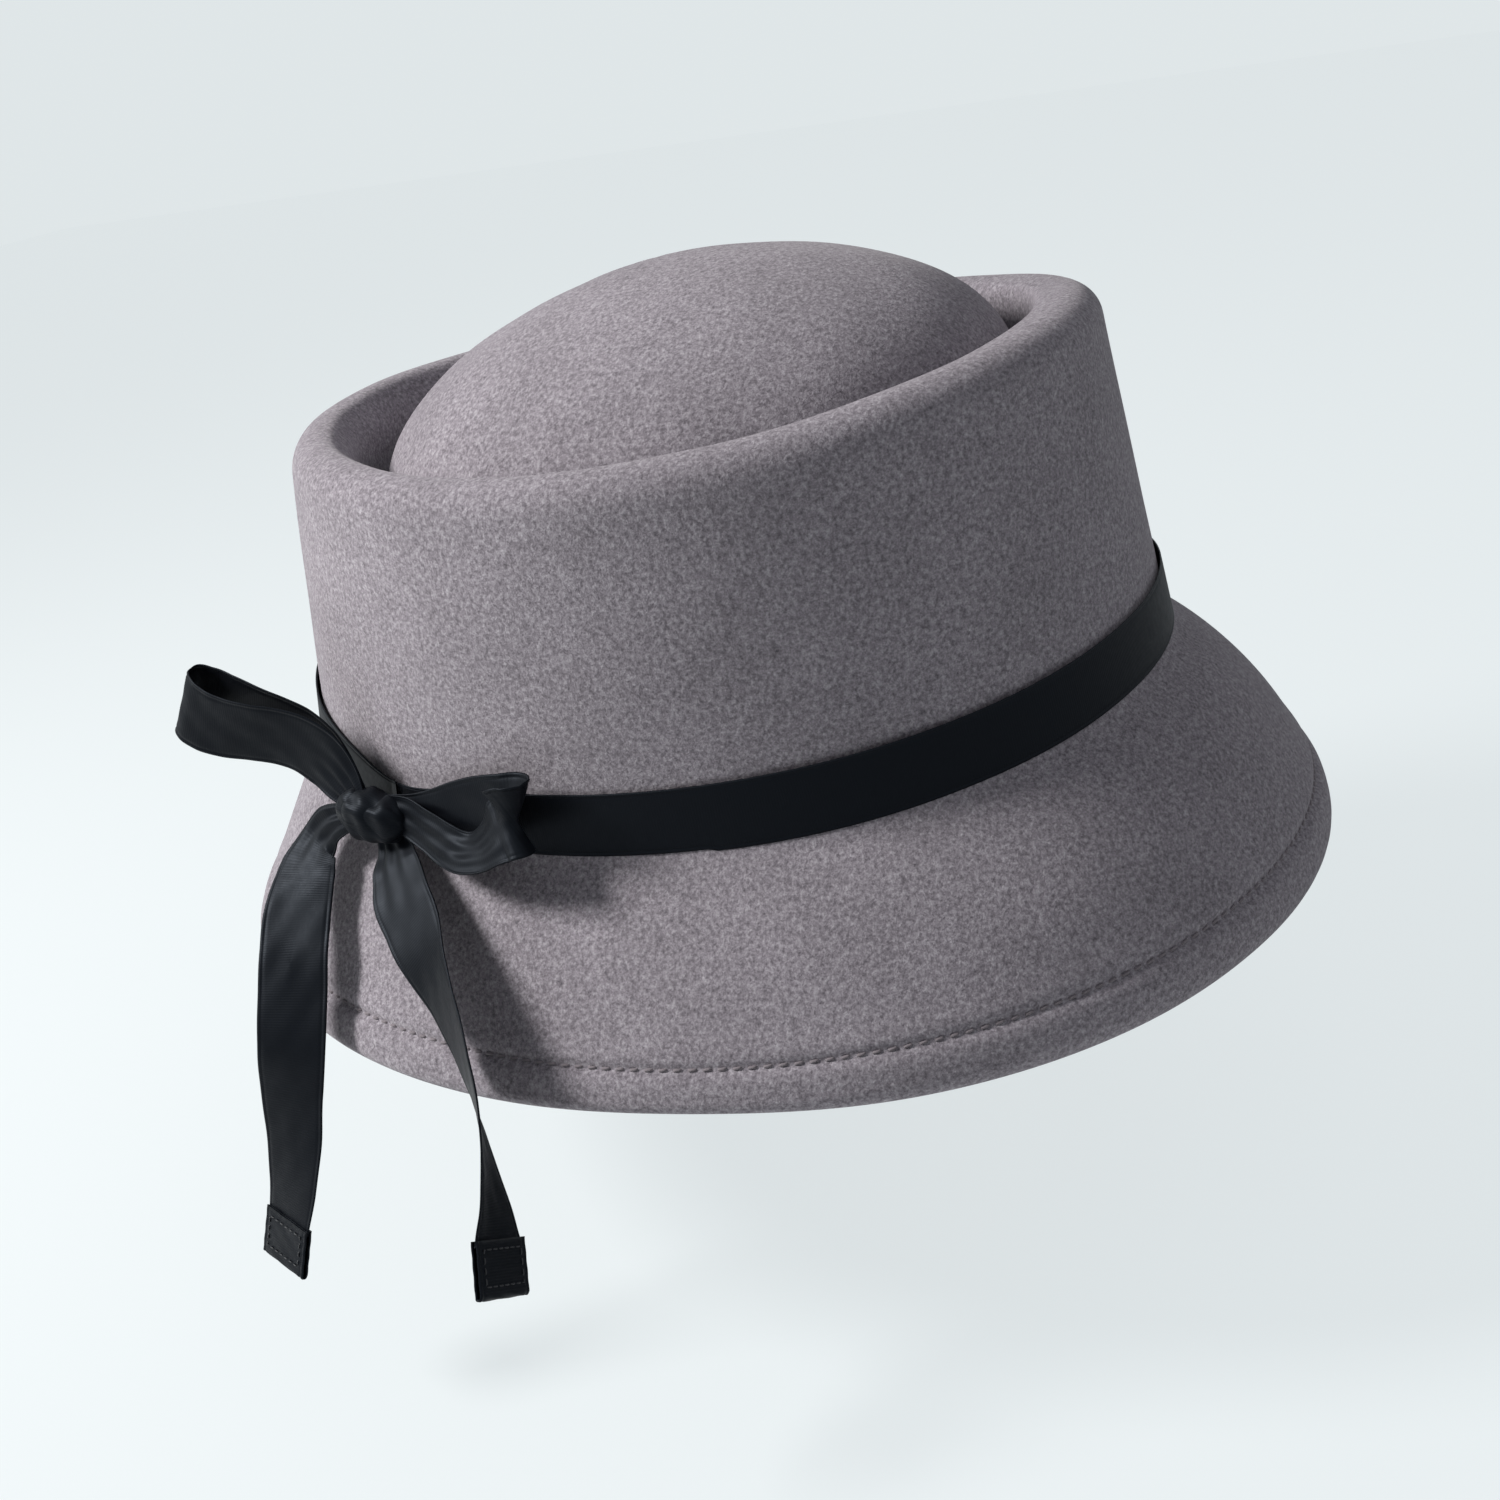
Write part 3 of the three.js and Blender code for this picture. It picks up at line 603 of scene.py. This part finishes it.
# Pleats take up the width that a gathered ribbon has lost.
def pleated(widths, piece):
    lost = np.sqrt(np.maximum((ribbon["width"] / np.maximum(widths, 3)) ** 2 - 1, 0))
    height = piece["amount"] * (widths / piece["pleats"]) / (2 * np.pi) * math.sqrt(2) * lost
    height = np.clip(height, 0, bowCloth["highestPleat"])[:, None]
    run = np.linspace(0, 1, len(widths))[:, None]

    def relief(t):
        wave = np.cos(np.pi * piece["pleats"] * t[None] + piece["phase"] + piece.get("drift", 0) * run)
        wrinkle = bowCloth["wrinkle"] * np.sin(5 * t[None] + 23 * run) * np.sin(31 * run + 2 * t[None])
        return height * wave + wrinkle
    return relief


def bowRibbon(piece):
    line = throughStops(fromBow(piece["stops"]), bowCloth["steps"])
    widths = np.linalg.norm(line[:, 3:], axis=1)
    return clothStrip(line[:, :3], line[:, 3:], widths, ribbon["thickness"], pleated(widths, piece)), line


leftLoop = {"pleats": 4, "phase": 0.4, "amount": 0.35, "drift": 3, "stops": [
    [-2.0, 1.4, 2.4, -2.0, -4.6, -2.6], [-6.0, 6.4, 1.0, -4.4, -9.2, -4.8],
    [-10.6, 11.3, 0.0, -4.5, -12.0, -8.8], [-15.3, 14.4, -0.5, -3.6, -12.2, -9.7],
    [-20.6, 16.1, -1.0, -3.4, -11.8, -10.2], [-27.3, 17.2, -1.5, -4.4, -11.4, -10.3],
    [-33.5, 18.3, -2.4, -5.4, -11.7, -9.5], [-38.4, 20.0, -3.5, -6.3, -11.8, -8.8],
    [-42.0, 22.2, -5.2, -6.0, -12.2, -8.4], [-43.5, 24.3, -7.8, -5.6, -12.3, -8.6],
    [-41.7, 25.8, -10.2, -5.6, -12.2, -8.8], [-37.8, 25.0, -10.4, -5.8, -12, -8.9],
    [-32.8, 23.2, -9.2, -5.2, -11.8, -9.6], [-27, 21.0, -7.8, -4.4, -11.7, -10.1],
    [-20.4, 18.4, -6.6, -3.6, -12, -10.1], [-15.2, 16.0, -5.6, -3.6, -12, -9.8],
    [-10.4, 12.2, -4.2, -4, -11.2, -8.8], [-6.2, 7.4, -2.6, -3.8, -8.4, -5.8],
    [-2.6, 2.8, -1.0, -2.2, -5.0, -3.4]]}
rightLoop = {"pleats": 3, "phase": 0.2, "amount": 0.17, "drift": -2, "stops": [
    [4.8, 0.6, 4.4, -2.9, -5.2, -3.4], [9.2, -0.9, 7.8, -4.2, -6.3, -5],
    [14.1, -3.6, 11.4, -2.4, -8.4, -3.4], [18.6, -6.2, 15.2, -2.2, -9, -1.2],
    [23.4, -7.6, 20.0, -1.2, -8.4, 3.6], [28.0, -6.2, 24.6, -0.2, -10.2, 2.6],
    [31.6, -2.9, 28.4, -2.6, -13.6, -2], [34.2, -0.6, 30.4, -4.6, -14.8, -4.4],
    [35.6, 0.4, 30.2, -5.2, -14.6, -4.4], [34.8, 1.0, 27.4, -4.2, -14.6, -5],
    [32, 0.8, 24.4, -1.4, -14.8, -5.9], [28, 0.5, 20.7, -0.8, -14.9, -5.8],
    [22.6, -0.3, 16.2, -0.8, -14.4, -5.6], [17, -1.0, 12.2, -1.2, -12.4, -5.2],
    [11.4, -0.8, 8.4, -2, -9.4, -4.6], [5.0, 0.8, 3.8, -2.2, -5.4, -3.2]]}
leftTail = {"pleats": 3, "phase": 1, "amount": 0.4, "stops": [
    [-5.6, -1.8, -3.4, 2.8, -2.6, 4.4], [-10.3, -3.1, -7.4, 6.4, -3.7, 7.0],
    [-14.3, -6.8, -10.8, 10.2, -3.1, 9.0], [-16.2, -11.2, -10.0, 13.4, -2, 8.2],
    [-17.0, -15.3, -8.4, 14.9, 0, 5.8], [-17.6, -20.6, -6.3, 15.6, 0.3, 3.4],
    [-17.4, -29.9, -1.9, 15.7, 0.4, 2.9], [-17.1, -40.4, 0.3, 15.8, 0.4, 2.6],
    [-17.2, -51.1, 1.0, 15.6, 0.4, 3.5], [-17.9, -60.8, -1.6, 15.0, 0, 5.6],
    [-18.0, -70.1, -3.7, 14.2, 0.2, 7.3], [-18.7, -81.5, -5.3, 12.8, 0.4, 9.6],
    [-19.8, -90.4, -6.6, 11.6, -0.3, 11]]}
rightTail = {"pleats": 3, "phase": 2, "amount": 0.4, "stops": [
    [1.8, -2.4, 0.6, 3.4, 1.4, 4.2], [4.0, -6.3, 1.0, 6.5, 1.8, 6.4],
    [5.9, -11.6, 5.2, 10.4, 1.0, 8.4], [8.5, -17.7, 10.4, 12.3, 1.0, 9.8],
    [11.2, -21.9, 14.1, 12.3, 1.4, 10.1], [14.8, -27.9, 19.2, 11.1, 1.4, 11.4],
    [19.2, -35.4, 24.4, 8.2, 2.0, 13.6], [22.1, -40.9, 27.7, 6.6, 2.8, 14.3],
    [24.8, -47.1, 30.5, 5.2, 2.8, 14.9], [27.0, -53.4, 32.2, 3.8, 3.2, 15.2],
    [28.4, -59.1, 32.6, 2.4, 3.5, 15.4], [29.5, -64.8, 32.6, 0.6, 3.8, 15.5],
    [30.8, -70.6, 33.2, -1.6, 4.2, 15.3], [32.0, -76.9, 34.4, -4.4, 4.4, 14.7],
    [32.8, -82.4, 36.0, -7.2, 4.6, 13.6]]}

loops = (("bowLoopLeft", leftLoop, "bow_loop_left"), ("bowLoopRight", rightLoop, "bow_loop_right"))
for name, piece, node in loops:
    strip, _ = bowRibbon(piece)
    loop = addCloth(name, strip, satin)
    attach(loop, "hat")
    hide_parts(node)
    print(name, round(strip[2], 1), "mm of ribbon")

knot = {"size": (18.5, 10.4, 8.6), "pleats": 4.2, "pleatHeight": 0.42, "rows": 110, "columns": 132,
        "place": (0.8, -0.6, 2.0), "corner": 0.8, "angle": 153, "turnToView": 0.4,
        "meanRadius": 5.5}


def signedPower(value, power):
    return np.sign(value) * np.abs(value) ** power


# The knot: ribbon pulled tight round the middle, gathered into pleats that run round it.
def knotMesh():
    share = np.linspace(-1, 1, knot["rows"])[:, None]
    turn = np.linspace(0, 2 * np.pi, knot["columns"], endpoint=False)[None]
    girth = np.maximum(1 - np.abs(share) ** 3.2, 0) ** 0.5
    winding = share + 0.45 * np.sin(turn + 0.6) + 0.14 * np.sin(3 * turn + 1)
    crease = np.abs(np.sin(knot["pleats"] * winding + 0.5))
    fold = knot["pleatHeight"] * (crease ** 0.7 - 0.6) * np.clip(girth * 1.6, 0, 1)
    crumple = 0.34 * np.sin(3 * turn + 5 * share) * np.sin(2 * turn - 7 * share + 1)
    crumple = crumple + 0.1 * np.sin(8 * turn + 9 * share)
    waist = 0.5 * np.exp(-(((share + 0.1) / 0.35) ** 2))
    wide, tall, deep = (size / 2 for size in knot["size"])
    lift = fold + (crumple + waist) * girth
    out = signedPower(np.cos(turn), knot["corner"]) * (deep * girth + lift)
    up = signedPower(np.sin(turn), knot["corner"]) * (tall * girth + lift)
    along = share * wide + 0 * turn
    local = np.stack([along + 0.12 * up, up - 0.1 * along, out], -1)
    # The knot lies in the band's direction at the bow, turned a little towards the bow's face.
    angle = math.radians(knot["angle"])
    middle = onBlock(angle, *wallPoint(0.02))
    bandWay = unit((onBlock(angle + 0.05, *wallPoint(0.02)) - middle) * [1, 1, 0])
    bandWay = unit(bandWay + knot["turnToView"] * axes[0])
    outWay = unit(np.cross(bandWay, [0, 0, 1]))
    ways = np.array([bandWay, np.cross(outWay, bandWay), outWay])
    centre = knotPlace + np.array(knot["place"]) @ axes
    uvs = np.stack(np.broadcast_arrays(share * ribbon["width"] / 2, turn * knot["meanRadius"]), -1)
    return centre + local @ ways, uvs


knotPoints, knotUvs = knotMesh()
knotFaces = gridFaces(knot["rows"], knot["columns"], closeColumns=True).tolist()
knotPiece = addMesh("bowKnot", knotPoints.reshape(-1, 3), knotFaces, satin, knotUvs.reshape(-1, 2))
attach(knotPiece, "hat")
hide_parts("bow_knot")

# The folded and stitched end of a tail: two layers of cloth with the tail's end between them.
tab = {"length": 10.8, "width": 16.5, "layer": 0.5, "gap": 0.6, "lap": 1.2, "steps": 14, "margin": 2,
       "crimp": 0.05}
tabStitch = {"pitch": 1.9, "length": 1.4, "radius": 0.17, "rise": 0.12, "bite": 0.2}


def addTail(side, piece, body):
    strip, line = bowRibbon(piece)
    wearerSide = side.lower()
    tail = addCloth(f"tail{side}", strip, satin)
    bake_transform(tail)
    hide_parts(f"tail_{wearerSide}")
    end, before = line[-1], line[-8]
    forward = unit(end[:3] - before[:3])
    across = unit(end[3:] - end[3:].dot(forward) * forward)
    normal = np.cross(forward, across)
    radius = (tab["gap"] + tab["layer"]) / 2
    straight = np.linspace(-tab["lap"], tab["length"] - tab["lap"] - radius, tab["steps"])
    bend = np.linspace(-np.pi / 2, np.pi / 2, 11)[1:-1]
    reach = np.r_[straight, straight[-1] + radius * np.cos(bend), straight[::-1]]
    aside = np.r_[np.full(tab["steps"], -radius), radius * np.sin(bend), np.full(tab["steps"], radius)]
    centres = end[:3] + reach[:, None] * forward + aside[:, None] * normal

    def crimp(t):
        return tab["crimp"] * np.sin(7 * t[None] + 1.4 * np.arange(len(reach))[:, None])

    tabAcross, tabWidths = np.tile(across, (len(reach), 1)), np.full(len(reach), tab["width"])
    folded = clothStrip(centres, tabAcross, tabWidths, tab["layer"], crimp)
    fold = addCloth(f"tailFold{side}", folded, satin)
    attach(fold, body)
    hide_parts(f"tail_end_{wearerSide}")
    # A square of stitches on both faces.
    halfWide, start = tab["width"] / 2 - tab["margin"], 0.6
    stop = tab["length"] - tab["lap"] - tab["margin"] - 0.2
    square = [(-halfWide, start), (halfWide, start), (halfWide, stop), (-halfWide, stop), (-halfWide, start)]
    corners = zip(square[:-1], square[1:])
    path = np.concatenate([np.linspace(here, there, 12, endpoint=False) for here, there in corners])
    flat = end[:3] + path[:, :1] * across + path[:, 1:] * forward
    meshes = []
    for face in (1, -1):
        spots = flat + face * (radius + tab["layer"] / 2) * normal
        faceName = f"tailFoldStitches{side}{'A' if face > 0 else 'B'}"
        faceNormals = np.tile(face * normal, (len(spots), 1))
        meshes.append(addStitches(faceName, spots, faceNormals, tabStitch, blackThread))
        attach(meshes[-1], body)
    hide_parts(f"tail_end_stitching_{wearerSide}")
    print(f"tail {side}", round(strip[2], 1), "mm of ribbon")


# Each tail is baked in place as it hangs, and its folded, stitched end is attached to the tail's own body.
addTail("Left", leftTail, "left_tail")
addTail("Right", rightTail, "right_tail")
print("bow made")

# Camera, lights and the room.
camera = bpy.data.objects.new("camera", bpy.data.cameras.new("camera"))
camera.data.lens = view["lens"]
camera.data.sensor_width = 36
camera.data.clip_start = 0.01
cameraSpot = axes[2] * view["distance"] + axes[0] * view["aside"][0] + axes[1] * view["aside"][1]
camera.matrix_world = Matrix.Translation(Vector(cameraSpot * metres)) @ Matrix(axes.T.tolist()).to_4x4()
bpy.context.scene.collection.objects.link(camera)
bpy.context.scene.camera = camera


def addArea(name, direction, distance, size, power, colour):
    lamp = bpy.data.lights.new(name, "AREA")
    lamp.shape = "DISK"
    lamp.size = size * metres
    lamp.energy = power
    lamp.color = linear(colour)[:3]
    holder = bpy.data.objects.new(name, lamp)
    toLamp = unit(np.array(direction) @ axes)
    holder.matrix_world = (Matrix.Translation(Vector(toLamp * distance * metres))
                           @ Vector(toLamp).to_track_quat("Z", "Y").to_matrix().to_4x4())
    bpy.context.scene.collection.objects.link(holder)


# Directions are right, up and out, as seen by the camera. Power is in watts.
addArea("keyLight", (-0.86, 0.42, 0.3), distance=900, size=260, power=9.2, colour="#fffdfb")
addArea("softFill", (0.2, 0.9, 0.5), distance=1100, size=900, power=1.2, colour="#f2f6ff")

room = {"floor": -125, "reach": 3000, "ambient": 0.2, "paint": "#eff6f8", "backdrop": 0.86, "floorGlow": 0.8}
world = bpy.data.worlds.new("room")
bpy.context.scene.world = world
world.use_nodes = True
worldTree = world.node_tree
worldTree.nodes.clear()
ray = addNode(worldTree, "ShaderNodeLightPath").outputs
seen = addNode(worldTree, "ShaderNodeMath", {0: ray["Is Camera Ray"], 1: ray["Is Glossy Ray"]},
               operation="MAXIMUM").outputs[0]
seenToo = addNode(worldTree, "ShaderNodeMath", {0: seen, 1: ray["Is Transmission Ray"]},
                  operation="MAXIMUM").outputs[0]
ambient = addNode(worldTree, "ShaderNodeBackground", {
    "Color": linear("#eef1f5"), "Strength": room["ambient"]}).outputs[0]
backdrop = addNode(worldTree, "ShaderNodeBackground", {
    "Color": linear(room["paint"]), "Strength": room["backdrop"]}).outputs[0]
shown = addNode(worldTree, "ShaderNodeMixShader", {0: seenToo, 1: ambient, 2: backdrop}).outputs[0]
addNode(worldTree, "ShaderNodeOutputWorld", {"Surface": shown})

corners = [[x, y, room["floor"]] for x, y in ((-1, -1), (1, -1), (1, 1), (-1, 1))]
corners = [[x * room["reach"], y * room["reach"], z] for x, y, z in corners]
# Matt paint that the camera sees lit from within, so that it stays pale and still takes the shadow.
floorPaint, floorTree, floorShader = newMaterial("paleFloor", "#eef3f4", 0.9)
cameraRay = addNode(floorTree, "ShaderNodeLightPath").outputs["Is Camera Ray"]
share = addNode(floorTree, "ShaderNodeMath", {0: cameraRay, 1: room["floorGlow"]},
                operation="MULTIPLY").outputs[0]
glow = addNode(floorTree, "ShaderNodeEmission", {"Color": linear(room["paint"]), "Strength": 1.0})
both = addNode(floorTree, "ShaderNodeMixShader", {0: share, 1: floorShader.outputs[0], 2: glow.outputs[0]})
floorTree.links.new(both.outputs[0], floorTree.nodes["Material Output"].inputs["Surface"])
floor = addMesh("floor", corners, [[0, 1, 2, 3]], floorPaint)

for name, material in (("brim_wire", steel), ("wire_joiner", brass)):
    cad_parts[name].data.materials.clear()
    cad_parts[name].data.materials.append(material)

bpy.context.scene.view_settings.view_transform = "Standard"
